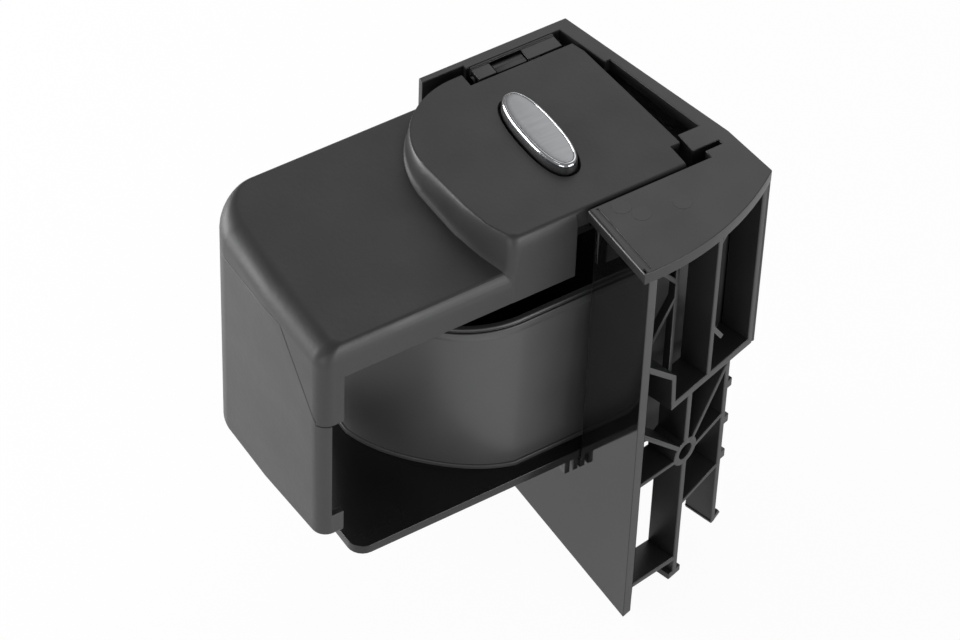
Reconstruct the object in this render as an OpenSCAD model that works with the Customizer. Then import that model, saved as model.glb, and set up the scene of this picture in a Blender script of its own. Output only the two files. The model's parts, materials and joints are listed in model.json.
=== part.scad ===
// Car cup holder: a moulded bracket that hangs in a console, a tray with a cup well, and a lid that swings up.
// Millimetres, +Z up. X runs along the bracket's front wall and Y runs into the console.
// Plan positions are measured from the near corner of the flange, and origin_x and origin_y move them
// to the origin, a point in the middle of the flange's broad end.

/* [Flange and walls] */
// Thickness of the flange
flange_t = 5; // [4:0.5:7]
// How far the front wall stands back under the flange's lip
lip = 2.75; // [2:0.25:4]
// Thickness of the front wall
wall_t = 4; // [3:0.5:5]
// Thickness of the inner side wall and of the rear wall
inner_wall_t = 3; // [2:0.5:4]
// Length of the flange's broad end along X
broad_end = 34; // [30:1:44]
// Width of the bay that the holder sits in
bay_w = 77.5; // [76.5:0.5:84]
// Thickness of the far wall
far_wall_t = 4; // [3:0.5:6]
// Depth of the far wall's front end below the flange face
far_end_depth = 24; // [16:1:30]
// How far the far wall reaches in front of the flange
far_end_reach = 15; // [8:1:18]
// Depth of the bracket from the flange face to its foot
frame_depth = 177; // [168:1:190]
// Distance of the far rear corner from the flange's near edge
rear_far = 44; // [43:0.5:50]
// Distance of the near rear corner from the flange's near edge
rear_near = 63; // [62:0.5:70]
// How far the curved end bulges out from its chord
end_bulge = 5.5; // [3:0.5:8]

/* [End lattice] */
// Thickness of a lattice rib
rib_t = 2.2; // [1.6:0.2:3]
// Depth of the lattice ribs
rib_depth = 12; // [8:0.5:13]
// Depth of the upper box of the lattice below the flange face
upper_box = 83; // [78:1:90]
// Radius of the fixing boss
boss_r = 6; // [5:0.5:8]
// Radius of the bore in the fixing boss
boss_bore_r = 3.3; // [2.5:0.1:4]
// Depth of the fixing boss below the flange face
boss_z = 112; // [106:1:118]

/* [Tray and well] */
// Depth of the tray's top face below the flange face
tray_z = 119; // [114:1:126]
// Thickness of the tray
tray_t = 4; // [3:0.5:6]
// How far the tray reaches out in front of the flange
tray_reach = 88; // [80:1:92]
// Height of the well's rim above the tray
well_h = 77.5; // [60:0.5:84]
// Wall of the well
well_wall = 2.2; // [1.6:0.2:3]
// How far the well's rounded end reaches in front of the flange
well_reach = 62.7; // [52:0.5:70]
// Radius of the well's large near curve
well_curve = 42; // [30:1:50]
// Thickness of the mat in the well
mat_t = 2; // [1:0.5:4]

/* [Lid] */
// Wall of the lid's mouldings
lid_t = 2.5; // [2:0.1:3]
// How far the lid reaches out in front of the flange
lid_reach = 103.5; // [100:0.5:112]
// Width of the lid
lid_w = 76.5; // [74:0.5:78]
// Step from the lid's raised part down to its lower part
step_h = 10.5; // [8:0.5:13]
// How much lower the lid's lower part lies at its near side than at its far side
lid_fall = 10.6; // [6:0.2:11]
// Width of the sweep down the front of the lid's raised part
sweep_w = 5; // [4:0.1:6]
// Depth of the lid's near skirt below the flange face
skirt_z = 29.5; // [27:0.5:32]
// Depth of the lid's skirt where it lies inside the bracket
inner_skirt_z = 8; // [7.5:0.5:9]
// Depth of the front panel's lower edge below the flange face
panel_z = 106; // [96:1:110]
// Depth of the seam between the lid's cover and its front panel
seam_z = 21; // [19:0.5:23]
// Depth of the lid's corner post below the flange face
post_z = 51; // [44:1:58]
// Running gap between the lid and the flange's inner edge
lid_gap = 1.2; // [1:0.1:2]

/* [Hinge] */
// Radius of the hinge barrel
barrel_r = 3.2; // [2.9:0.1:3.4]
// Radius of the hinge pin
pin_r = 1.75; // [1.2:0.05:1.9]
// Radial clearance of the pin in the lid's barrel
pin_gap = 0.05; // [0.02:0.01:0.1]
// Length of each hinge lug on the bracket
lug_l = 7; // [5:0.5:8]
// Wire radius of the hinge spring
hinge_wire_r = 0.4; // [0.3:0.05:0.45]

/* [Button and latch] */
// Length of the button
button_l = 40; // [34:1:44]
// Width of the button
button_w = 13.4; // [11:0.2:15]
// How far the button stands proud of the lid
button_proud = 4.5; // [3:0.5:6]
// Clearance around the button
button_gap = 1; // [0.6:0.1:1.4]
// Travel of the button, and of the latch that it draws back
button_travel = 2.8; // [2:0.1:3]
// Width of the latch's tongue
tongue_w = 10.4; // [8:0.2:12]

/* [Hidden] */
$fn = 48;
eps = 0.01;
fit = 0.3;
origin_x = 17;
origin_y = -30;

// Plan positions of the bracket.
bay_near = -broad_end + 1.3;
bay_far = bay_near - bay_w - 1.3;
far_x = bay_far - far_wall_t;
swing_x = bay_far - 1.6;
chord = [-18.5, rear_near];
chord_l = norm(chord);
chord_angle = atan2(chord[1], chord[0]);
bulge_r = chord_l * chord_l / (8 * end_bulge) + end_bulge / 2;
rear_mid = [-41.5, rear_near - 2];
wall_y = lip + wall_t;

// Plan positions of the lid, and the hinge axis.
lid_near = -broad_end;
lid_mid = lid_near - lid_w / 2;
lid_low_near = lid_near - 0.1;
lid_inner_near = lid_near - lid_gap;
lid_far = lid_near - lid_w;
lid_front_y = -3.3;
hinge_x = bay_far + barrel_r + 0.1;
hinge_z = -barrel_r - 1.1;
strip_z = -0.6;
step_x = hinge_x + barrel_r + 1.2;
lug_near_y = lip;
lug_far_y = 36 - lug_l;
knuckle_l = 12;
knuckle_y = lug_near_y + lug_l + fit;
leaf_top = -lid_t - 0.1;
leaf_t = 2.7;

// Positions of the button and of the pieces under it.
button_x = lid_near - 37.3;
button_y = 4.9;
flange_top = -lid_t - fit;
flange_low = flange_top - 1.4;
ramp_low = -11.5;
ramp_x = button_x + 13.6;
slide_low = -14;
slide_top = -12;
bed_top = slide_low - fit;
bed_low = bed_top - 2;
tongue_y = 18.5;
tongue_tip = lid_near - 0.4;

function arc(c, r, a0, a1, n) = [for (i = [0:n]) c + r * [cos(a0 + (a1 - a0) * i / n), sin(a0 + (a1 - a0) * i / n)]];

// Points of the flange's curved end, bulging out from the chord between its two corners.
function bulge_pts(n) =
    let (c = chord / 2 - (bulge_r - end_bulge) * [sin(chord_angle), -cos(chord_angle)])
    let (a0 = atan2(-c[1], -c[0]))
    let (a1 = atan2(chord[1] - c[1], chord[0] - c[0]))
    arc(c, bulge_r, a0, a1, n);

// Outline of the well, drawn in by inset.
function well_pts(inset) = concat(
    arc([-45.3, 30], 6 - inset, 0, 90, 6),
    arc([bay_far + 10, 30], 6 - inset, 90, 180, 6),
    arc([bay_far + 22, 18 - well_reach], 18 - inset, 180, 270, 15),
    arc([-39.3 - well_curve, well_curve - well_reach], well_curve - inset, 270, 360, 36));

// Outline of the lid's lower part and of its front panel, drawn in by side at both sides and by front
// at the front.
function lid_pts(side, front) =
    let (corner_r = max(5.5 - side, 0.8))
    concat(
        [[lid_low_near - side, -20], [lid_far + 0.1 + side, -20]],
        [for (i = [0:16])
            [lid_far + 19.1 + (19 - side) * cos(180 + 5.25 * i),
             19 - lid_reach + (19 - front) * sin(180 + 5.25 * i)]],
        [[lid_near - 34, front - lid_reach]],
        arc([lid_low_near - side - corner_r, 1.5 + front - lid_reach + corner_r], corner_r, 270, 360, 9));

// Outline of the lid's raised part, drawn in by inset. The share of the sweep draws the front and far
// sides in further, and draw is how far the near side draws in further.
function raised_pts(inset, share, draw) = concat(
    [for (i = [0:26])
        let (a = 181 + 88 * i / 26)
        let (r = 34.5 - inset - share * (1 + (sweep_w - 1) * pow(i / 26, 2)))
        [lid_far + 34.5 + r * cos(a), r * sin(a) - 5]],
    [[lid_near - 23.3, inset - 37.4 + share * 0.8 * sweep_w],
     [lid_near - 11.4, inset - 34.2 + share * 0.52 * sweep_w]],
    arc([lid_near - draw - 4, share * 0.4 * sweep_w - 27.2], 4 - inset, 285, 360, 7),
    [[lid_near - inset - draw, 44.2 - inset], [lid_near - 13, 44 - inset], [lid_far + 12, 40.7 - inset],
     [lid_far + inset + share, 37.5 - inset], [lid_far + inset + share, -4]]);

// An oval with fuller ends than an ellipse.
function oval_pts(a, b, n) = [for (i = [0:n - 1])
    let (c = cos(360 * i / n), s = sin(360 * i / n))
    [a * sign(c) * pow(abs(c), 0.82), b * sign(s) * pow(abs(s), 0.82)]];

// A closed tube of radius r along a path.
module tube(path, r, sides) {
    n = len(path);
    rings = [for (i = [0:n - 1])
        let (a = path[max(i - 1, 0)], b = path[min(i + 1, n - 1)])
        let (t = (b - a) / norm(b - a))
        let (ref = abs(t[1]) > 0.9 ? [1, 0, 0] : [0, 1, 0])
        let (u = cross(t, ref) / norm(cross(t, ref)), v = cross(t, u))
        for (k = [0:sides - 1]) path[i] + r * (cos(360 * k / sides) * u + sin(360 * k / sides) * v)];
    sides_f = [for (i = [0:n - 2], k = [0:sides - 1])
        let (k2 = (k + 1) % sides)
        [i * sides + k, i * sides + k2, (i + 1) * sides + k2, (i + 1) * sides + k]];
    start = [for (k = [0:sides - 1]) sides - 1 - k];
    end = [for (k = [0:sides - 1]) (n - 1) * sides + k];
    polyhedron(points = rings, faces = concat(sides_f, [start, end]), convexity = 6);
}

// A straight bar of width w between two points, in the plane.
module bar(a, b, w) {
    translate(a)
        rotate(atan2(b[1] - a[1], b[0] - a[0]))
            translate([0, -w / 2])
                square([norm(b - a), w]);
}

// Stands a drawing of distance along the end wall against height on the end wall, reaching depth into it.
module on_end(depth, set_back = 0) {
    rotate([0, 0, chord_angle])
        rotate([90, 0, 0])
            translate([0, 0, -depth - set_back])
                linear_extrude(depth)
                    children();
}

// A slab between two outlines, at heights z0 and z1.
module slab(pts, z0, z1) {
    translate([0, 0, z0])
        linear_extrude(z1 - z0)
            polygon(pts);
}

// A cylinder along Y.
module y_rod(x, z, r, y0, y1) {
    translate([x, y0, z])
        rotate([-90, 0, 0])
            cylinder(r = r, h = y1 - y0);
}

// A pan-head screw. It points up, and its head's underside is at the origin.
module screw(r, l) {
    cylinder(r = r, h = l);
    difference() {
        translate([0, 0, -1.8])
            cylinder(r = r * 1.9, h = 1.8);
        for (a = [0, 90])
            rotate(a)
                translate([-r, -0.3, -1.8 - eps])
                    cube([2 * r, 0.6, 1]);
    }
}

// Plan positions of the screws, and of the rubber buffers under the lid's rear skirt.
tray_screw_at = [[bay_near - 5, 12], [bay_near - 5, 33], [bay_far + 5, 12], [bay_far + 5, 33]];
hinge_screw_at = [[hinge_x + 8.4, 12], [hinge_x + 8.4, 29.5]];
housing_screw_at = [[button_x - 16, -5.5], [button_x - 16, 21], [lid_near - 9, -0.5]];
panel_screw_x = [lid_far + 21, lid_near - 46, lid_near - 29];
panel_screw_y = 9 - lid_reach;
panel_tab_top = -22;
tray_screw_r = 1.4;
buffer_at = [[lid_far + 18, 39.8], [lid_near - 22, 42.3]];
lid_screw_r = 1.2;

// The flange, a plate open to the front where the lid lies.
module flange() {
    rear_slope = (rear_mid[1] - rear_far) / (rear_mid[0] - far_x);
    outline = concat(
        bulge_pts(14),
        [rear_mid, [far_x, rear_far], [far_x, -far_end_reach], [swing_x, -far_end_reach],
         [swing_x, 1.2], [bay_far, 1.2], [bay_far, rear_far - 5], [bay_far + 21, rear_far - 5 + 21 * rear_slope],
         [bay_far + 21, rear_far - 3 + 21 * rear_slope],
         [-broad_end - 3.5, rear_mid[1] - 5], [-broad_end - 3.5, rear_mid[1] - 12],
         [-broad_end, rear_mid[1] - 12], [-broad_end, 0]]);
    difference() {
        slab(outline, -flange_t, 0);
        translate([-broad_end - eps, -eps, -flange_t - eps])
            cube([broad_end - 0.2, 1.2, flange_t + 2 * eps]);
        translate([-broad_end + 1, lip, -0.4])
            cube([broad_end - 2.5, 0.7, 1]);
    }
    translate([-broad_end, 1.2, -1.2])
        rotate([0, 90, 0])
            cylinder(r = 1.2, h = broad_end - 0.4);
    translate([-broad_end, 0.3, -flange_t])
        cube([broad_end - 0.3, 1, flange_t - 1.2]);
}

// The front wall, with the bay's mouth cut out of it.
module front_wall() {
    end_slope = chord[0] / chord[1];
    plan = [[far_x, lip], [lip * end_slope, lip], [wall_y * end_slope, wall_y], [far_x, wall_y]];
    difference() {
        slab(plan, -frame_depth, -flange_t);
        translate([bay_far, lip - 1, -tray_z - tray_t - 0.4])
            cube([bay_near - bay_far, wall_t + 2, tray_z + tray_t]);
    }
    translate([bay_near + 1.7, lip, -24])
        cylinder(r = 0.6, h = 24 - flange_t + eps, $fn = 16);
}

// The walls round the bay, with the ledges that the tray is screwed to.
module bay_walls() {
    low = tray_z + tray_t + fit + 3.2;
    slope = (rear_mid[1] - rear_far) / (rear_mid[0] - far_x);
    near_end = rear_mid[1] - inner_wall_t - 0.2;
    translate([bay_near, wall_y - eps, -low])
        cube([inner_wall_t, near_end - wall_y, low - flange_t + eps]);
    translate([far_x, lip, -low])
        cube([far_wall_t, rear_far - lip - 1, low - flange_t + eps]);
    translate([far_x, -far_end_reach, -far_end_depth])
        cube([swing_x - far_x, far_end_reach + lip + eps, far_end_depth - flange_t + eps]);
    slab([[far_x, rear_far], rear_mid, chord, [chord[0] - 0.3, rear_near - inner_wall_t],
          [rear_mid[0], rear_mid[1] - inner_wall_t], [far_x, rear_far - inner_wall_t]],
         -upper_box, -flange_t + eps);
    for (x = [bay_near - 10, bay_far - eps])
        difference() {
            translate([x, wall_y - eps, -low])
                cube([10 + 2 * eps, 38 - wall_y, 3.2]);
            for (p = tray_screw_at)
                translate([p[0], p[1], -low - 1])
                    cylinder(r = tray_screw_r + 0.05, h = 5);
        }
    for (p = buffer_at)
        translate([p[0] - 4, p[1] - 3, -inner_skirt_z - 5])
            cube([8, rear_far - inner_wall_t + (p[0] - far_x) * slope - p[1] + 4, 3]);
    translate([-broad_end - 14.5, 45.4, -inner_skirt_z - 4])
        cube([9, rear_mid[1] - 47.5, inner_skirt_z + 4]);
}

// The ribs of the end wall, drawn as distance along the wall against height.
module upper_ribs() {
    bar([40.7, -flange_t + 1], [40.7, -upper_box + 1], rib_t);
    bar([chord_l - 2.6, -flange_t + 1], [chord_l - 2.6, -upper_box + 1], rib_t);
    bar([21, 1.8 - upper_box], [chord_l - 1.5, 1.8 - upper_box], 3.4);
    bar([6, -50.5], [21.6, -67], rib_t);
    bar([21.2, -66], [22, -upper_box + 1], rib_t);
    bar([40.7, -17], [46, -11], 1.8);
    bar([40.7, -57], [46.5, -66], 1.8);
}

module inner_braces() {
    bar([7, -4], [31, -34], 1.8);
    bar([31, -40], [15, -59], 1.8);
    bar([30.5, -flange_t + 1], [30.5, -upper_box + 1], 1.8);
    bar([30.5, 1.8 - upper_box], [42, 1.8 - upper_box], 3);
}

module lower_ribs() {
    right = chord_l - 14;
    bar([right, -upper_box + 1], [right, -frame_depth + 10], rib_t);
    bar([31.2, -upper_box + 1], [31.2, boss_r - 0.6 - boss_z], 2.4);
    bar([31.2, -boss_z - boss_r + 0.6], [31.2, -frame_depth + 1.5], 2.4);
    bar([6, -84], [27.4, 4 - boss_z], 1.8);
    bar([right, -83], [35, 4 - boss_z], 1.8);
    bar([6, 2 - boss_z], [26, -1.5 - boss_z], 1.8);
    bar([36.6, -1 - boss_z], [right, 3 - boss_z], 1.8);
    bar([31.2, -140], [right, -135.5], 1.8);
    bar([6, -frame_depth + 14], [31.6, -frame_depth + 8], 2.2);
    bar([28, -frame_depth], [34.4, -frame_depth], 3);
    bar([right - 1, -frame_depth + 10.5], [right + 3.5, -frame_depth + 13], 2.2);
    for (z = [-95, -113.5, -132])
        translate([right, z - 2])
            square([3.2, 4]);
}

module end_lattice() {
    on_end(rib_depth)
        upper_ribs();
    on_end(3, rib_depth - 3 + eps)
        inner_braces();
    difference() {
        union() {
            on_end(rib_depth)
                lower_ribs();
            on_end(rib_depth)
                translate([31.2, -boss_z])
                    circle(r = boss_r);
        }
        on_end(rib_depth + 2, -1)
            translate([31.2, -boss_z])
                circle(r = boss_bore_r);
    }
}

// The two lugs that hold the hinge pin, the roof over its spring, and the bead along the flange's edge.
module hinge_lugs() {
    lug_w = hinge_x + barrel_r - bay_far;
    roof_y = knuckle_y + knuckle_l + fit;
    difference() {
        for (y = [lug_near_y, lug_far_y])
            translate([bay_far - eps, y, hinge_z - barrel_r])
                cube([lug_w, lug_l, barrel_r + strip_z - hinge_z]);
        y_rod(hinge_x, hinge_z, pin_r + 0.02, 0, lug_far_y + lug_l + 1);
    }
    translate([bay_far - eps, roof_y, hinge_z + barrel_r - 0.2])
        cube([lug_w, lug_far_y + eps - roof_y, strip_z - hinge_z - barrel_r + 0.2]);
    y_rod(bay_far + 0.5, strip_z, 0.6, lug_near_y, lug_far_y + lug_l);
}

module mounting_frame() {
    color([0.07, 0.07, 0.075]) {
        flange();
        front_wall();
        bay_walls();
        end_lattice();
        hinge_lugs();
    }
}

// The tray, a flat plate that runs out of the bay and carries the well.
module base_tray() {
    near = bay_near - 0.5;
    far = bay_far + 1.5;
    outline = concat(
        [[near, 38], [far, 38]],
        arc([far + 19, 19 - tray_reach], 19, 180, 270, 9),
        arc([near - 6, 6 - tray_reach], 6, 270, 360, 6));
    color([0.05, 0.05, 0.055])
        difference() {
            union() {
                slab(outline, -tray_z - tray_t, -tray_z);
                for (y = [-3.2, 0.2])
                    translate([near - 3.6, y, -tray_z - tray_t - 6])
                        cube([3.4, 2.2, 6 + eps]);
                for (x = [near - 20, near - 38, near - 56])
                    translate([x, 24 - tray_reach, -tray_z - tray_t - 3])
                        cube([1.8, tray_reach - 26, 3 + eps]);
            }
            for (p = tray_screw_at)
                translate([p[0], p[1], -tray_z - tray_t - 1])
                    cylinder(r = tray_screw_r + 0.02, h = tray_t);
        }
}

// The well, a smooth tub with a flared rim and a thin foot line.
module cup_well() {
    top = well_h - tray_z;
    color([0.06, 0.06, 0.065])
        difference() {
            union() {
                slab(well_pts(0), -tray_z, top - 1);
                slab(well_pts(-0.8), -tray_z, 2 - tray_z);
                slab(well_pts(-0.8), top - 5, top - 1.2);
                slab(well_pts(0.3), top - 1.2, top);
            }
            slab(well_pts(well_wall), 2 - tray_z, top + 1);
        }
}

// The mat, a loose rubber pad with ring grooves in its upper face.
module well_mat() {
    top = 2 - tray_z + mat_t;
    color([0.04, 0.04, 0.04])
        difference() {
            slab(well_pts(well_wall + 0.5), 2 - tray_z, top);
            for (r = [12, 18, 24, 30])
                translate([bay_far + 38.5, -18, top - 0.6])
                    difference() {
                        cylinder(r = r + 0.6, h = 1);
                        translate([0, 0, -1])
                            cylinder(r = r - 0.6, h = 3);
                    }
        }
}

module hinge_pin() {
    color("silver") {
        y_rod(hinge_x, hinge_z, pin_r, lug_near_y - 0.2, lug_far_y + lug_l + 0.6);
        y_rod(hinge_x, hinge_z, pin_r + 0.9, lug_near_y - 1.4, lug_near_y - 0.2);
    }
}

// The torsion spring. One leg lies along the far wall and the other under the lid's hinge arm.
module hinge_spring() {
    r = barrel_r - hinge_wire_r - 0.4;
    y0 = knuckle_y + knuckle_l + 0.8;
    y1 = lug_far_y - 0.8;
    turns = 6.25;
    steps = 76;
    coil = [for (i = [0:steps])
        let (a = -90 - 360 * turns * i / steps)
        [hinge_x + r * cos(a), y0 + (y1 - y0) * i / steps, hinge_z + r * sin(a)]];
    lid_leg = [[hinge_x + 9, y0, leaf_top - leaf_t - hinge_wire_r - 0.1]];
    wall_leg = [[hinge_x - r, y1, hinge_z - 10]];
    color([0.6, 0.6, 0.62])
        tube(concat(lid_leg, coil, wall_leg), hinge_wire_r, 8);
}

module tray_screws() {
    low = tray_z + tray_t + fit + 3.2;
    color("dimgray")
        for (p = tray_screw_at)
            translate([p[0], p[1], -low - 0.05])
                screw(tray_screw_r, 5.6);
}

module stop_buffers() {
    color([0.1, 0.1, 0.1])
        for (p = buffer_at)
            translate([p[0], p[1], -inner_skirt_z - 2])
                cylinder(r = 2.2, h = 2 - fit);
}

// A solid through a stack of outlines. Each layer is an outline, its height, and the share of the
// lower part's fall that it takes. The lowest layer comes first.
module loft(layers) {
    n = len(layers[0][0]);
    m = len(layers);
    points = [for (l = layers, p = l[0]) [p[0], p[1], l[1] - l[2] * lid_fall * (p[0] - lid_mid) / lid_w]];
    walls = [for (j = [0:m - 2], i = [0:n - 1])
        let (a = j * n + i, b = j * n + (i + 1) % n)
        each [[a, a + n, b + n], [a, b + n, b]]];
    bottom = [for (i = [0:n - 1]) i];
    top = [for (i = [0:n - 1]) m * n - 1 - i];
    polyhedron(points = points, faces = concat(walls, [bottom, top]), convexity = 6);
}

// The lid's lower part with its rounded top edge, drawn in by t on every face. The edge is rounded by
// 8 mm at the front and by 3 mm at the sides.
module lower_body(t) {
    top = -step_h - t;
    front_r = 8 - t;
    side_r = 3 - 0.4 * t;
    loft(concat([[lid_pts(t, t), -post_z - 1, 0]],
                [for (a = [0:11.25:90])
                    [lid_pts(t + side_r * (1 - cos(a)), t + front_r * (1 - cos(a))),
                     top - front_r + front_r * sin(a), 1]]));
}

// The raised part of the lid, which sweeps down to the lower part. Each step of the sweep is its share
// of the width, its height as a share of the step, and how far the near side draws in.
module raised_body(t) {
    sweep = [[0, -1.04, 0], [0.16, -0.98, 0], [0.3, -0.93, 0], [0.42, -0.85, 0], [0.5, -0.72, 0],
             [0.56, -0.52, 0], [0.62, -0.34, 0.1], [0.69, -0.2, 0.5], [0.79, -0.09, 1.1],
             [0.9, -0.025, 1.8], [1, 0, 2.6]];
    loft(concat([[raised_pts(t, 0, 0), -skirt_z - 1, 0]],
                [for (s = sweep) [raised_pts(t, s[0], s[2]), step_h * s[1] - t, -s[1]]]));
}

// The part of the lid that belongs to its cover: above the seam with the front panel.
module cover_zone(gap) {
    translate([0, 60, 0])
        rotate([90, 0, 0])
            linear_extrude(200)
                polygon([[lid_far - 5, 20], [lid_far - 5, gap - seam_z], [lid_near - 24, gap - seam_z],
                         [lid_near - 3.6, gap - post_z + 1.5], [lid_near - 3.6, gap - post_z],
                         [lid_near + 5, gap - post_z], [lid_near + 5, 20]]);
}

// What the lid's skirts are cut away to: deep at the front, short inside the bracket.
module skirt_cut() {
    translate([lid_far - 5, 11 - lid_reach, -post_z - 5])
        cube([lid_w + 10, 200, post_z + 5 - skirt_z]);
    translate([lid_far - 5, lid_front_y, -post_z - 5])
        cube([lid_w + 10, 100, post_z + 5 - inner_skirt_z]);
    translate([lid_inner_near, lid_front_y, -60])
        cube([20, 100, 100]);
    translate([lid_far - 5, -1.5, -60])
        cube([step_x - lid_far + 5, 100, 100]);
    translate([step_x - 1, -1.5, -60])
        cube([3.2, 37.5, 60 + hinge_z + 3]);
}

// The lid's cover, a soft-touch shell with the button's oval hole.
module hood_cover() {
    color([0.22, 0.22, 0.23])
        difference() {
            union() {
                difference() {
                    intersection() {
                        union() {
                            lower_body(0);
                            raised_body(0);
                        }
                        cover_zone(0);
                    }
                    lower_body(lid_t);
                    raised_body(lid_t);
                    skirt_cut();
                }
                for (p = housing_screw_at)
                    translate([p[0], p[1], -7])
                        cylinder(r = 3, h = 7 - lid_t + 0.5, $fn = 32);
                for (x = panel_screw_x)
                    translate([x, panel_screw_y, panel_tab_top + 0.1])
                        cylinder(r = 3, $fn = 32,
                                 h = 0.5 - step_h - lid_fall * (x - lid_mid) / lid_w - lid_t - panel_tab_top);
            }
            translate([button_x, button_y, -5])
                linear_extrude(10)
                    polygon(oval_pts(button_l / 2 + button_gap, button_w / 2 + button_gap, 48));
            translate([lid_near - 11, 40.2, -20])
                cube([20, 10, 30]);
            translate([lid_inner_near - 6, tongue_y - tongue_w / 2 - fit, -6.3])
                cube([10, tongue_w + 2 * fit, 4]);
            translate([hinge_x + barrel_r + 0.3, 0.7, -inner_skirt_z - 1])
                cube([7, 35.6, inner_skirt_z + 1 - lid_t - 0.05]);
            for (p = housing_screw_at)
                translate([p[0], p[1], -8])
                    cylinder(r = lid_screw_r + 0.25, h = 6.8, $fn = 24);
            for (p = hinge_screw_at)
                translate([p[0], p[1], -8])
                    cylinder(r = lid_screw_r + 0.25, h = 6.8, $fn = 24);
            for (x = panel_screw_x)
                translate([x, panel_screw_y, panel_tab_top - 1])
                    cylinder(r = lid_screw_r + 0.25, h = 7.2, $fn = 24);
        }
}

// The front panel, which wraps the lid's two front corners and is screwed up under the cover.
module front_panel() {
    low = -panel_z;
    color([0.3, 0.3, 0.31])
        difference() {
            union() {
                difference() {
                    loft([[lid_pts(1.2, 1.2), low, 0], [lid_pts(0.3, 0.3), low + 0.5, 0],
                          [lid_pts(0, 0), low + 1.4, 0], [lid_pts(0, 0), -step_h - 10, 0]]);
                    slab(lid_pts(lid_t, lid_t), low - 1, 0);
                    cover_zone(-fit);
                    translate([lid_far - 5, 17.5 - lid_reach, low - 1])
                        cube([lid_w / 2, 200, panel_z]);
                    translate([lid_near - 30, 6.5 - lid_reach, low + 10])
                        cube([60, 200, panel_z]);
                    translate([lid_near - 30, 11 - lid_reach, low - 1])
                        cube([60, 200, panel_z]);
                }
                for (x = panel_screw_x)
                    translate([x - 4, lid_t - 0.6 - lid_reach, panel_tab_top - 2.4])
                        cube([8, 10, 2.4]);
                for (x = panel_screw_x)
                    translate([x - 0.9, lid_t - 0.6 - lid_reach, panel_tab_top - 10])
                        cube([1.8, 4.4, 8]);
            }
            for (x = panel_screw_x)
                translate([x, panel_screw_y, panel_tab_top - 5])
                    cylinder(r = lid_screw_r + 0.1, h = 6);
        }
}

// The lid's half of the hinge: a leaf screwed under the cover, with the barrel that turns on the pin.
module hinge_arm() {
    color([0.12, 0.12, 0.125])
        difference() {
            union() {
                translate([step_x + 1.2, 3, leaf_top - leaf_t])
                    cube([7, 33, leaf_t]);
                translate([hinge_x, knuckle_y, leaf_top - leaf_t])
                    cube([step_x + 1.2 + eps - hinge_x, knuckle_l, leaf_t]);
                y_rod(hinge_x, hinge_z, barrel_r, knuckle_y, knuckle_y + knuckle_l);
            }
            y_rod(hinge_x, hinge_z, pin_r + pin_gap, 0, 40);
            for (p = hinge_screw_at)
                translate([p[0], p[1], leaf_top - leaf_t - 1])
                    cylinder(r = lid_screw_r + 0.1, h = leaf_t + 2);
        }
}

module hinge_screws() {
    color("dimgray")
        for (p = hinge_screw_at)
            translate([p[0], p[1], leaf_top - leaf_t - 0.05])
                screw(lid_screw_r, 3.9);
}

// The bed under the cover that guides the button and the latch.
module button_housing() {
    x0 = button_x - 20.4;
    x1 = lid_near - 5;
    y0 = -9;
    y1 = 26;
    color([0.1, 0.1, 0.105])
        difference() {
            translate([x0, y0, bed_low])
                cube([x1 - x0, y1 - y0, -7.1 - bed_low]);
            translate([x0 + 8, y0 + 1.8, bed_top])
                cube([x1 - x0 - 16, y1 - y0 - 3.8, 20]);
            translate([x1 - 12, 5, bed_top])
                cube([14, 18.9, 20]);
            for (p = housing_screw_at)
                translate([p[0], p[1], bed_low - 1])
                    cylinder(r = lid_screw_r + 0.1, h = 20);
            for (p = housing_screw_at)
                translate([p[0], p[1], bed_low - 1])
                    cylinder(r = 3, h = 4);
        }
}

module housing_screws() {
    color("dimgray")
        for (p = housing_screw_at)
            translate([p[0], p[1], bed_low + 2.95])
                screw(lid_screw_r, -bed_low - 2.95 - 2.2);
}

module panel_screws() {
    color("dimgray")
        for (x = panel_screw_x)
            translate([x, panel_screw_y, panel_tab_top - 2.45])
                screw(lid_screw_r, 7.4);
}

// The button's plated cap, an oval shell with a rounded rim and a slightly crowned face.
module button_cap() {
    a = button_l / 2;
    b = button_w / 2;
    rim = [[0, 0.45], [0.5, 0.72], [1.4, 0.88], [3, 1]];
    low = flange_top;
    color([0.78, 0.78, 0.78])
        translate([button_x, button_y, 0])
            difference() {
                loft(concat([[oval_pts(a, b, 48), low, 0]],
                            [for (s = rim) [oval_pts(a - s[0], b - s[0], 48), button_proud * s[1], 0]]));
                slab(oval_pts(a - 1.5, b - 1.5, 48), low - 1, 0.45 * button_proud - 1);
            }
}

// The carrier under the cap: a collar that stops against the cover, a spring seat and a ramp.
module button_carrier() {
    a = button_l / 2;
    b = button_w / 2;
    color([0.15, 0.15, 0.15]) {
        translate([button_x, button_y, 0]) {
            slab(oval_pts(a + 2.2, b + 2, 48), flange_low, flange_top);
            slab(oval_pts(a - 1.8, b - 1.8, 48), flange_top - eps, 0.45 * button_proud - 1.3);
        }
        translate([0, button_y + 5.4, 0])
            rotate([90, 0, 0])
                linear_extrude(3)
                    polygon([[ramp_x - 6, flange_low + eps], [ramp_x - 6, ramp_low + 6], [ramp_x, ramp_low],
                             [ramp_x + 2, ramp_low], [ramp_x + 2, flange_low + eps]]);
        translate([button_x - 7, button_y, flange_low - 2])
            cylinder(r = 1.6, h = 2 + eps);
    }
}

// The coil spring that lifts the button.
module button_spring() {
    r = 2.6;
    z0 = bed_top + 0.45;
    z1 = flange_low - 0.45;
    turns = 5;
    steps = 70;
    color([0.6, 0.6, 0.62])
        tube([for (i = [0:steps])
            let (a = 360 * turns * i / steps)
            [button_x - 7 + r * cos(a), button_y + r * sin(a), z0 + (z1 - z0) * i / steps]],
             0.35, 8);
}

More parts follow.
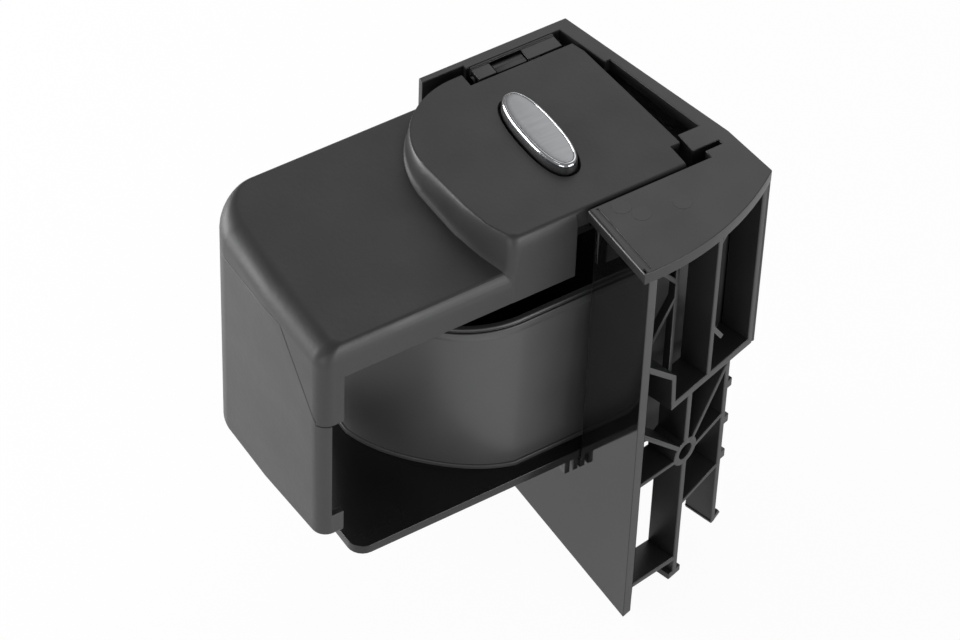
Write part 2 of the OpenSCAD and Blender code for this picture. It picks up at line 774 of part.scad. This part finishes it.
// The latch, a slide that the button's ramp draws back. Its tongue shows in the gap beside the lid.
module latch_slider() {
    y0 = button_y + 2.4;
    y1 = tongue_y + tongue_w / 2;
    back = ramp_x - 8;
    front = lid_near - 8;
    face = ramp_x + ramp_low - 0.5;
    post_top = flange_low - button_travel - 0.5;
    color([0.28, 0.28, 0.29])
        difference() {
            union() {
                translate([back, y0, slide_low])
                    cube([front + 2 - back, y1 - y0, slide_top - slide_low]);
                translate([0, y0 + 3, 0])
                    rotate([90, 0, 0])
                        linear_extrude(3)
                            polygon([[back, slide_top - eps], [back, post_top], [face - post_top, post_top],
                                     [face - slide_top, slide_top - eps]]);
                translate([front, tongue_y - tongue_w / 2, slide_low])
                    cube([2.4, tongue_w, -2.9 - slide_low]);
                translate([front, tongue_y - tongue_w / 2, -5.8])
                    cube([tongue_tip - front, tongue_w, 2.9]);
            }
            translate([ramp_x - 0.6, y0 - 1, slide_low - 1])
                cube([6.2, 4.4, 4]);
        }
}

module at_origin() {
    translate([origin_x, origin_y, 0])
        children();
}

at_origin() mounting_frame();
at_origin() base_tray();
at_origin() cup_well();
at_origin() well_mat();
at_origin() hinge_pin();
at_origin() hinge_spring();
at_origin() tray_screws();
at_origin() stop_buffers();
at_origin() hood_cover();
at_origin() front_panel();
at_origin() hinge_arm();
at_origin() hinge_screws();
at_origin() button_housing();
at_origin() housing_screws();
at_origin() panel_screws();
at_origin() button_cap();
at_origin() button_carrier();
at_origin() button_spring();
at_origin() latch_slider();
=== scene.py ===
import bmesh, bpy, json, math
from mathutils import Matrix, Vector
from mathutils.bvhtree import BVHTree


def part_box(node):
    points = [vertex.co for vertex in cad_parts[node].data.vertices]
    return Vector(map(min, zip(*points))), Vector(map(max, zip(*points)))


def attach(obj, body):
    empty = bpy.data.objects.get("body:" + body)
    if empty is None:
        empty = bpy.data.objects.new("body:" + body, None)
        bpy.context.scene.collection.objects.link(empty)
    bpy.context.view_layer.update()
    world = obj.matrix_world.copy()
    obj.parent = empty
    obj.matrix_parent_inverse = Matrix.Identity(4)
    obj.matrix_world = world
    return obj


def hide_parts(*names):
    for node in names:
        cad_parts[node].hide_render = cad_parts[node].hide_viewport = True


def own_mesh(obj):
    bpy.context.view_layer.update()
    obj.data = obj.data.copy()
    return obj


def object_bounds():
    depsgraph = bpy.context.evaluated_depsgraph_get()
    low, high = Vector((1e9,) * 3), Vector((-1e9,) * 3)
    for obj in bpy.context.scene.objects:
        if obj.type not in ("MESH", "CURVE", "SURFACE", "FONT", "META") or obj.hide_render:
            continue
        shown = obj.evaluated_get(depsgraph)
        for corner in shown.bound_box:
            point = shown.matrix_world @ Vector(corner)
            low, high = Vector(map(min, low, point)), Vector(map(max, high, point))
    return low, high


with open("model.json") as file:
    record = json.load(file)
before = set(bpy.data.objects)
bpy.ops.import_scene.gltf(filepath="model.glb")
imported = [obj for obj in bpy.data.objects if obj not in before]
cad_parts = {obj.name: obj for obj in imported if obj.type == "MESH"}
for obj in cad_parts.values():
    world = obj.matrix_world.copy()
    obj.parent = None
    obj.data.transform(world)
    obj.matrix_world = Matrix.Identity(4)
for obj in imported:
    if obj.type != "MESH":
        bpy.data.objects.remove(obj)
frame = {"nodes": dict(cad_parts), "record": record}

solids_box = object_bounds()

# The bench: a white paper floor that the holder stands on, five soft panels of light round it,
# and a camera at the height and turn at which the holder was photographed.
def linear(code):
    """Turns a web colour into Blender's linear colour."""
    parts = [int(code[i:i + 2], 16) / 255 for i in (1, 3, 5)]
    return (*(c / 12.92 if c <= 0.04045 else ((c + 0.055) / 1.055) ** 2.4 for c in parts), 1.0)


def add(tree, kind, sockets=(), **settings):
    """Adds a node, sets its settings, and fills or links its sockets."""
    node = tree.nodes.new(kind)
    for name, value in settings.items():
        setattr(node, name, value)
    for name, value in dict(sockets).items():
        if isinstance(value, bpy.types.NodeSocket):
            tree.links.new(value, node.inputs[name])
        else:
            node.inputs[name].default_value = value
    return node


def show(shape, name, finishes, body=None):
    """Makes an object of a mesh. It rides on its body, or without one it is part of the bench."""
    crease = math.radians(38)
    mesh = bpy.data.meshes.new(name)
    shape.to_mesh(mesh)
    shape.free()
    mesh.polygons.foreach_set("use_smooth", [True] * len(mesh.polygons))
    mesh.set_sharp_from_angle(angle=crease)
    for finish in finishes:
        mesh.materials.append(finish)
    piece = bpy.data.objects.new(name, mesh)
    bpy.context.scene.collection.objects.link(piece)
    if body:
        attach(piece, body)
    return piece


def bench_paper():
    """Seamless white paper: matt, and it glows for the camera, so that it photographs as white."""
    # The rest is plain matt paper, which keeps the holder's shadow. Gloss sees less of the glow,
    # because the paper close to the holder is in its shade.
    camera_glow, gloss_glow = 0.95, 0.4
    finish = bpy.data.materials.new("Seamless paper")
    finish.use_nodes = True
    tree = finish.node_tree
    tree.nodes.clear()
    matt = add(tree, "ShaderNodeBsdfDiffuse", {"Color": linear("#f4f4f4")})
    glow = add(tree, "ShaderNodeEmission", {"Color": (1, 1, 1, 1), "Strength": 1.0})
    ray = add(tree, "ShaderNodeLightPath")
    seen = add(tree, "ShaderNodeMath", {0: ray.outputs["Is Camera Ray"], 1: camera_glow},
               operation="MULTIPLY")
    share = add(tree, "ShaderNodeMath",
                {0: ray.outputs["Is Glossy Ray"], 1: gloss_glow, 2: seen.outputs[0]},
                operation="MULTIPLY_ADD")
    mix = add(tree, "ShaderNodeMixShader",
              {0: share.outputs[0], 1: matt.outputs[0], 2: glow.outputs[0]})
    add(tree, "ShaderNodeOutputMaterial", {"Surface": mix.outputs[0]})
    return finish


half_floor, floor_gap = 3.0, 0.0005
floor = bmesh.new()
bmesh.ops.create_grid(floor, x_segments=1, y_segments=1, size=half_floor,
                      matrix=Matrix.Translation((0, 0, solids_box[0].z - floor_gap)))
show(floor, "bench_floor", [bench_paper()])

room_light = 0.27
world = bpy.data.worlds.new("Studio")
bpy.context.scene.world = world
world.use_nodes = True
world.node_tree.nodes["Background"].inputs["Color"].default_value = (1, 1, 1, 1)
world.node_tree.nodes["Background"].inputs["Strength"].default_value = room_light

# Each panel faces the holder: its name, its place, its width and height in metres, and its watts.
aim = Vector((-0.03, -0.03, -0.06))
for name, place, width, height, power in (
        ("left_panel", (-0.78, -0.74, 0.1), 0.7, 0.45, 13.5),
        ("rim_panel", (0.02, -0.85, 0.72), 0.4, 0.12, 0.45),
        ("rear_panel", (-0.38, 0.46, 0.62), 0.8, 0.8, 2.5),
        ("near_panel", (0.5, -0.85, 0.0), 0.5, 0.35, 2.0),
        ("right_panel", (0.88, 0.3, 0.03), 0.6, 0.35, 5.5)):
    lamp = bpy.data.lights.new(name, "AREA")
    lamp.shape, lamp.size, lamp.size_y, lamp.energy = "RECTANGLE", width, height, power
    panel = bpy.data.objects.new(name, lamp)
    bpy.context.scene.collection.objects.link(panel)
    facing = (Vector(place) - aim).to_track_quat("Z", "Y").to_matrix().to_4x4()
    panel.matrix_world = Matrix.Translation(place) @ facing

# The matrix's columns are the camera's right, its up, its back and its place.
camera = bpy.data.objects.new("camera", bpy.data.cameras.new("camera"))
bpy.context.scene.collection.objects.link(camera)
bpy.context.scene.camera = camera
camera.data.sensor_width, camera.data.lens = 36.0, 165.7
camera.data.clip_start, camera.data.clip_end = 0.05, 10.0
camera.matrix_world = Matrix(((0.5314, -0.6273, 0.5693, 0.8117),
                              (0.8467, 0.3717, -0.3807, -0.6249),
                              (0.0272, 0.6843, 0.7287, 1.0303),
                              (0, 0, 0, 1)))
bpy.context.scene.view_settings.view_transform = "Standard"

# The mounting bracket: one deep moulding of black ABS with the flange, the front wall, the bay's
# walls and the ribbed end wall. The flange lies under the console's trim, and the bore in the end
# wall takes the screw or peg that holds it.
def plastic(name, shade, gloss, grain_mm, depth_mm, smudge):
    """A moulded plastic: its shade and gloss drift in blotches, and its grain is a bump.

    gloss is its roughness, smudge how far that drifts, and depth_mm the height of the grain.
    """
    # The true grains are some 0.1 mm wide. They are drawn coarser, as wide as grain_mm, to show.
    blotch_mm, paler, haze = 100 / 9, 1.28, 0.0015
    finish = bpy.data.materials.new(name)
    finish.use_nodes = True
    tree = finish.node_tree
    tree.nodes.clear()
    place = add(tree, "ShaderNodeTexCoord").outputs["Object"]
    drift = add(tree, "ShaderNodeTexNoise", {"Vector": place, "Scale": 500.0 / blotch_mm,
                                             "Detail": 3.0, "Roughness": 0.55})
    grain = add(tree, "ShaderNodeTexNoise", {"Vector": place, "Scale": 500.0 / grain_mm,
                                             "Detail": 2.0})
    dark = linear(shade)
    light = [min(1, c * paler + haze) for c in dark[:3]] + [1.0]
    colour = add(tree, "ShaderNodeMix", {0: drift.outputs["Fac"], 6: dark, 7: light},
                 data_type="RGBA")
    sheen = add(tree, "ShaderNodeMapRange", {"Value": drift.outputs["Fac"],
                                             "From Min": 0.3, "From Max": 0.7,
                                             "To Min": gloss - smudge, "To Max": gloss + smudge})
    bump = add(tree, "ShaderNodeBump", {"Height": grain.outputs["Fac"], "Strength": 1.0,
                                        "Distance": depth_mm / 1000})
    skin = add(tree, "ShaderNodeBsdfPrincipled", {
        "Base Color": colour.outputs[2], "Roughness": sheen.outputs[0], "IOR": 1.5,
        "Normal": bump.outputs[0]})
    add(tree, "ShaderNodeOutputMaterial", {"Surface": skin.outputs[0]})
    return finish


def moulded(node, radius_mm, trim=None):
    """Joins a solid's loose triangles and rounds its outer edges, as they leave the tool."""
    same_point, same_plane, crisp, proud = 2e-6, math.radians(0.6), math.radians(30), 2e-5
    shape = bmesh.new()
    shape.from_mesh(frame["nodes"][node].data)
    if trim:
        trim(shape)
    bmesh.ops.remove_doubles(shape, verts=shape.verts, dist=same_point)
    bmesh.ops.dissolve_limit(shape, angle_limit=same_plane, verts=shape.verts, edges=shape.edges)
    edges = [e for e in shape.edges if e.is_convex and e.calc_face_angle(0) > crisp]
    skin = BVHTree.FromBMesh(shape)
    if radius_mm:
        bmesh.ops.bevel(shape, geom=edges, affect="EDGES", offset=radius_mm / 1000,
                        offset_type="OFFSET", segments=2, profile=0.5, material=-1,
                        clamp_overlap=False)
    # Rounding never adds material, so a corner that came out proud of the solid goes back to it.
    for v in shape.verts:
        near, outward, _, gap = skin.find_nearest(v.co)
        if gap > proud and (v.co - near).dot(outward) > 0:
            v.co = near
    bmesh.ops.triangulate(shape, faces=[f for f in shape.faces if len(f.verts) > 4],
                          ngon_method="BEAUTY")
    return shape


def dressed(node, radius_mm, finishes, body, trim=None):
    """Shows a solid with its edges rounded in place of the plain one."""
    piece = show(moulded(node, radius_mm, trim), node + "_dressed", finishes, body)
    flat = piece.modifiers.new("Flat faces", "WEIGHTED_NORMAL")
    flat.keep_sharp = True
    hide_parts(node)
    return piece


# The plane of the front wall, a height just under the flange's lip, and a line just inside the
# far arm, which stands further forward than the wall.
wall_front, under_lip, far_arm = -0.02725, -0.006, -0.08


def flush(shape):
    """Cuts the corners of the slanted ribs flush where they come through the front wall."""
    for v in shape.verts:
        if v.co.y < wall_front and v.co.z < under_lip and v.co.x > far_arm:
            v.co.y = wall_front


# ABS from a lightly etched tool: near black, with a low gloss that mirrors light softly. The front
# wall comes from a polished part of the tool, so it is a black mirror that shows floor and well.
etched_abs = plastic("Etched ABS", "#242425", 0.36, 0.8, 0.02, 0.06)
polished_abs = plastic("Polished ABS", "#0f0f10", 0.07, 9.0, 0.004, 0.02)
bracket = dressed("mounting_frame", 0.3, [etched_abs, polished_abs], "bracket",
                  flush)
skin_depth, facing_out = 0.0004, -0.98
for face in bracket.data.polygons:
    on_wall = abs(face.center.y - wall_front) < skin_depth and face.center.z < under_lip
    if on_wall and face.normal.y < facing_out:
        face.material_index = 1

# The ejector marks: the low round lands that the tool's pins leave on the flange. They are part of
# the bracket's moulding and stand 0.05 mm proud, with the pins' own smoother and blacker skin.
smooth_abs = plastic("Smooth ABS", "#141415", 0.24, 1.2, 0.006, 0.05)
land_foot, land_top, land_depth, land_proud = 0.0034, 0.0033, 0.0003, 0.00005
marks = bmesh.new()
for place in ((-0.0127, -0.0195), (-0.0068, -0.0155), (-0.0044, -0.0009)):
    bmesh.ops.create_cone(marks, cap_ends=True, segments=48, radius1=land_foot,
                          radius2=land_top, depth=land_depth,
                          matrix=Matrix.Translation((*place, land_proud - land_depth / 2)))
show(marks, "ejector_marks", [smooth_abs], "bracket")

# The tray: a flat plate of the same smooth ABS that runs out of the bay and carries the well. Four
# screws hold it to the ledges, and two teeth catch behind the front wall.
dressed("base_tray", 0.3, [smooth_abs], "bracket")

# The cup well: a deep tub moulded in ABS with a satin skin, which shows the room as soft grey
# bands. It leans outwards to its rim, so that it leaves the tool, and a thin foot line runs round
# it. It is part of the bracket's body and stands on the tray.
satin_abs = plastic("Satin ABS", "#404041", 0.37, 2.5, 0.002, 0.03)
well_foot, well_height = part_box("cup_well")[0].z, 0.0775


def drafted(shape):
    """Draws the near front curve in at the foot, and leans the near side out towards the rim."""
    # The draw-in is a share of the distance from the hub. It dies out nine tenths of the way up.
    hub, draw_in, die_out = Vector((-0.0643, -0.0507)), 0.131, 1.1
    lean, lean_reach = 0.0036, 0.042
    for v in shape.verts:
        rise = min(max((v.co.z - well_foot) / well_height, 0.0), 1.0)
        reach = Vector((v.co.x, v.co.y)) - hub
        turn = math.atan2(-reach.y, reach.x)
        if 0 < turn < math.pi / 2:
            reach *= 1 - draw_in * math.sin(2 * turn) * (1 - die_out * rise)
        near = min(max(reach.x / lean_reach, 0.0), 1.0)
        v.co.x = hub.x + reach.x + lean * rise * near * near * (3 - 2 * near)
        v.co.y = hub.y + reach.y
    return shape


tub = show(drafted(moulded("cup_well", 0.25)), "cup_well_dressed", [satin_abs],
           "bracket")
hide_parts("cup_well")

# The mat: a loose pad of moulded rubber in the bottom of the well, with ring grooves for grip.
# Rubber spreads every reflection, so it stays dull and black. It follows the well's drawn-in foot.
moulded_rubber = plastic("Moulded rubber", "#0c0c0c", 0.75, 0.6, 0.02, 0.05)
pad = show(drafted(moulded("well_mat", 0.15)), "well_mat_dressed", [moulded_rubber],
           "bracket")
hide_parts("well_mat")

# The buffers: two short posts of the same rubber on shelves of the bracket. The lid's rear skirt
# comes down on them, so that it shuts without a knock.
dressed("stop_buffers", 0.15, [moulded_rubber], "bracket")


# The hinge pin, the springs and the screws. The pin is drawn steel, blackened and pressed into the
# bracket's lugs. The springs are wound from bright wire. The screws are cold-headed, zinc plated
# and driven from below.
def metal(name, shade, gloss, line_mm):
    """A drawn or plated metal with fine lines along Y."""
    # The true lines are a few hundredths of a millimetre wide, and are drawn coarser to show.
    shortened, gloss_drift, line_depth = 0.05, 0.08, 0.000004
    finish = bpy.data.materials.new(name)
    finish.use_nodes = True
    tree = finish.node_tree
    tree.nodes.clear()
    place = add(tree, "ShaderNodeTexCoord").outputs["Object"]
    along = add(tree, "ShaderNodeMapping", {"Vector": place, "Scale": (1.0, shortened, 1.0)})
    lines = add(tree, "ShaderNodeTexNoise", {"Vector": along.outputs[0],
                                             "Scale": 500.0 / line_mm, "Detail": 2.0})
    sheen = add(tree, "ShaderNodeMapRange", {"Value": lines.outputs["Fac"],
                                             "To Min": gloss - gloss_drift,
                                             "To Max": gloss + gloss_drift})
    bump = add(tree, "ShaderNodeBump", {"Height": lines.outputs["Fac"], "Strength": 1.0,
                                        "Distance": line_depth})
    skin = add(tree, "ShaderNodeBsdfPrincipled", {
        "Base Color": linear(shade), "Metallic": 1.0, "Roughness": sheen.outputs[0],
        "Normal": bump.outputs[0]})
    add(tree, "ShaderNodeOutputMaterial", {"Surface": skin.outputs[0]})
    return finish


# Drawn steel is bright and a little streaked, blackened steel shows only a dark sheen, and zinc
# plate is a paler, duller grey.
drawn_steel = metal("Drawn steel", "#b4b4b8", 0.3, 0.4)
blackened_steel = metal("Blackened steel", "#38383a", 0.35, 0.4)
zinc_plate = metal("Zinc plate", "#9a9a9c", 0.4, 0.5)
dressed("hinge_pin", 0.2, [blackened_steel], "bracket")
dressed("hinge_spring", 0, [drawn_steel], "bracket")
for screws, body in (("tray_screws", "bracket"), ("hinge_screws", "lid"),
                     ("housing_screws", "lid"), ("panel_screws", "lid")):
    dressed(screws, 0.1, [zinc_plate], body)
# The button's spring stands on its bed. On the real lid it gets shorter as the button goes down; here
# it only gets a mesh of its own.
coil = dressed("button_spring", 0, [drawn_steel], "lid")
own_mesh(coil)

# The lid's cover: an ABS shell sprayed with soft-touch paint, which is dry to the touch and spreads
# every reflection into a dull sheen. The oval hole for the button is moulded in. The paint's fine
# orange peel is drawn 0.9 mm wide, so that it shows.
soft_touch = plastic("Soft-touch paint", "#2a2a2b", 0.5, 0.9, 0.05, 0.05)
dressed("hood_cover", 0.35, [soft_touch], "lid")

# The front panel: the lid's end face, a second ABS shell that is screwed up under the cover. It wears
# the same paint as the cover. This copy is a shade paler as painted light, for the lamp at the left
# that the panel faces.
lit_panel_paint = plastic("Soft-touch paint, painted lighter front", "#2f2f30", 0.48, 0.9, 0.05, 0.05)
dressed("front_panel", 0.35, [lit_panel_paint], "lid")

# The hinge arm, the button's bed and its carrier: glass-filled nylon, whose skin is dull and a little
# uneven from the fibres. The arm and the bed are screwed under the cover, and the carrier slides in
# the bed. A small land squares the top of the arm's barrel.
filled_nylon = plastic("Glass-filled nylon", "#1d1d1e", 0.42, 0.5, 0.02, 0.06)
dressed("hinge_arm", 0.25, [filled_nylon], "lid")
axle = frame["record"]["behaviour"]["joints"][0]["pos_m"]
land_middle = Vector((axle[0] + 0.00155, -0.01395, axle[2] + 0.0016))
land_size, land_radius = Vector((0.0029, 0.0119, 0.0031)), 0.0002
land = bmesh.new()
for v in bmesh.ops.create_cube(land, size=1.0)["verts"]:
    v.co = land_middle + land_size * v.co
bmesh.ops.bevel(land, geom=land.edges[:], affect="EDGES", offset=land_radius,
                offset_type="OFFSET", segments=2, profile=0.5, material=-1)
show(land, "hinge_arm_land", [filled_nylon], "lid")
dressed("button_housing", 0.25, [filled_nylon], "lid")
dressed("button_carrier", 0.2, [filled_nylon], "button")

# The latch: a slide moulded in grey acetal, which needs no grease and has a soft waxy gloss. It
# runs in the button's bed, and its tongue shows in the gap by the flange.
acetal = plastic("Acetal", "#3a3a3b", 0.35, 0.8, 0.01, 0.04)
dressed("latch_slider", 0.25, [acetal], "latch")

# The button's cap: an ABS shell plated with chrome. Its face is blasted to a satin, its rolled rim
# is left polished, and a fine groove runs between the two. It sits on the carrier's collar.
satin_chrome = metal("Satin chrome", "#8f9092", 0.38, 0.25)
bright_chrome = metal("Bright chrome", "#c4c5c7", 0.14, 0.6)
cap_low, cap_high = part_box("button_cap")
cap_middle, cap_half = (cap_low + cap_high) / 2, (cap_high - cap_low) / 2
# A power below 1 fills the ellipse out towards its corners.
fullness = 0.82
cap = bmesh.new()
for v in bmesh.ops.create_circle(cap, cap_ends=True, segments=112, radius=1.0)["verts"]:
    v.co = Vector((cap_middle.x + cap_half.x * math.copysign(abs(v.co.x) ** fullness, v.co.x),
                   cap_middle.y + cap_half.y * math.copysign(abs(v.co.y) ** fullness, v.co.y),
                   cap_low.z))
cap.faces.ensure_lookup_table()
face = cap.faces[0]
if face.normal.z < 0:
    face.normal_flip()
# Each step: how far in and how far up, in millimetres, and its finish, 0 for the satin face or 1
# for the rim. They go up the side, round the rolled rim, down into the groove and over the face.
for inward, upward, finish in (
        (0.04, 5.3, 0),
        (0.05, 0.45, 1), (0.12, 0.4, 1), (0.2, 0.35, 1), (0.26, 0.25, 1), (0.28, 0.14, 1),
        (0.2, 0.02, 1), (0.14, -0.1, 1), (0.08, -0.24, 1),
        (0.12, 0.0, 0), (0.12, 0.22, 0), (0.4, 0.07, 0), (1.0, 0.1, 0)):
    sides = bmesh.ops.inset_region(cap, faces=[face], thickness=inward / 1000,
                                   depth=upward / 1000, use_boundary=True,
                                   use_even_offset=True)["faces"]
    for side in sides:
        side.material_index = finish
bmesh.ops.contextual_create(cap, geom=[e for e in cap.edges if e.is_boundary])
bmesh.ops.recalc_face_normals(cap, faces=cap.faces)
button = show(cap, "button_cap_dressed", [satin_chrome, bright_chrome], "button")
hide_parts("button_cap")
